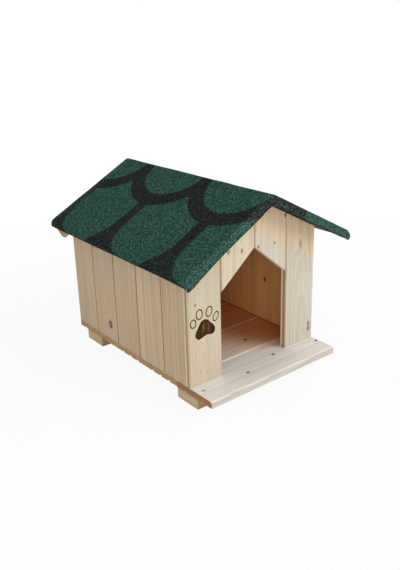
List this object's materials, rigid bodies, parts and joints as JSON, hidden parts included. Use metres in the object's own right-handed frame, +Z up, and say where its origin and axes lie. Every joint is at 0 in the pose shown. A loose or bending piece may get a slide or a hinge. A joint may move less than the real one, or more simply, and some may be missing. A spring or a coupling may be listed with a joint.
{
  "type": "cat house",
  "caption": "Small gabled cat house of tongue-and-groove boards with a five-sided doorway, porch board, block feet and a lift-off roof under granule-faced felt.",
  "frame": {"origin": "under the middle of the whole outline, on the surface that the feet stand on", "axes": "+X to the right seen from the doorway, +Y from the doorway to the back, +Z up"},
  "size_m": [0.4308, 0.5174, 0.4089],
  "materials": {
    "wall_pine": "planed, unvarnished pale softwood",
    "floor_pine": "planed, unvarnished pale softwood",
    "batten_pine": "sawn softwood",
    "roofing_felt": "bitumen sheet faced with green and black mineral granules",
    "brads": "bright wire"
  },
  "bodies": {
    "house": {"back_board_left": "wall_pine", "back_board_mid_left": "wall_pine", "back_board_mid_right": "wall_pine", "back_board_right": "wall_pine", "floor_board_1": "floor_pine", "floor_board_2": "floor_pine", "floor_board_3": "floor_pine", "floor_board_4": "floor_pine", "foot_brads": "brads", "foot_front_left": "batten_pine", "foot_front_right": "batten_pine", "foot_rear_left": "batten_pine", "foot_rear_right": "batten_pine", "front_board_left": "wall_pine", "front_board_mid_left": "wall_pine", "front_board_mid_right": "wall_pine", "front_board_right": "wall_pine", "left_board_front": "wall_pine", "left_board_mid_1": "wall_pine", "left_board_mid_2": "wall_pine", "left_board_mid_3": "wall_pine", "left_board_rear": "wall_pine", "porch_board": "floor_pine", "post_front_left": "batten_pine", "post_front_right": "batten_pine", "post_rear_left": "batten_pine", "post_rear_right": "batten_pine", "right_board_front": "wall_pine", "right_board_mid_1": "wall_pine", "right_board_mid_2": "wall_pine", "right_board_mid_3": "wall_pine", "right_board_rear": "wall_pine", "wall_brads": "brads", "wall_rail_left": "batten_pine", "wall_rail_right": "batten_pine"},
    "roof": {"deck_brads": "brads", "roof_batten_front_left": "batten_pine", "roof_batten_front_right": "batten_pine", "roof_batten_rear_left": "batten_pine", "roof_batten_rear_right": "batten_pine", "roof_board_left_1": "wall_pine", "roof_board_left_2": "wall_pine", "roof_board_left_3": "wall_pine", "roof_board_right_1": "wall_pine", "roof_board_right_2": "wall_pine", "roof_board_right_3": "wall_pine", "roofing_felt": "roofing_felt"}
  },
  "joints": [
    {"name": "roof_lift", "type": "slide", "parent": "house", "child": "roof", "axis": [0, 0, 1], "range_m": [0, 0.15]}
  ]
}
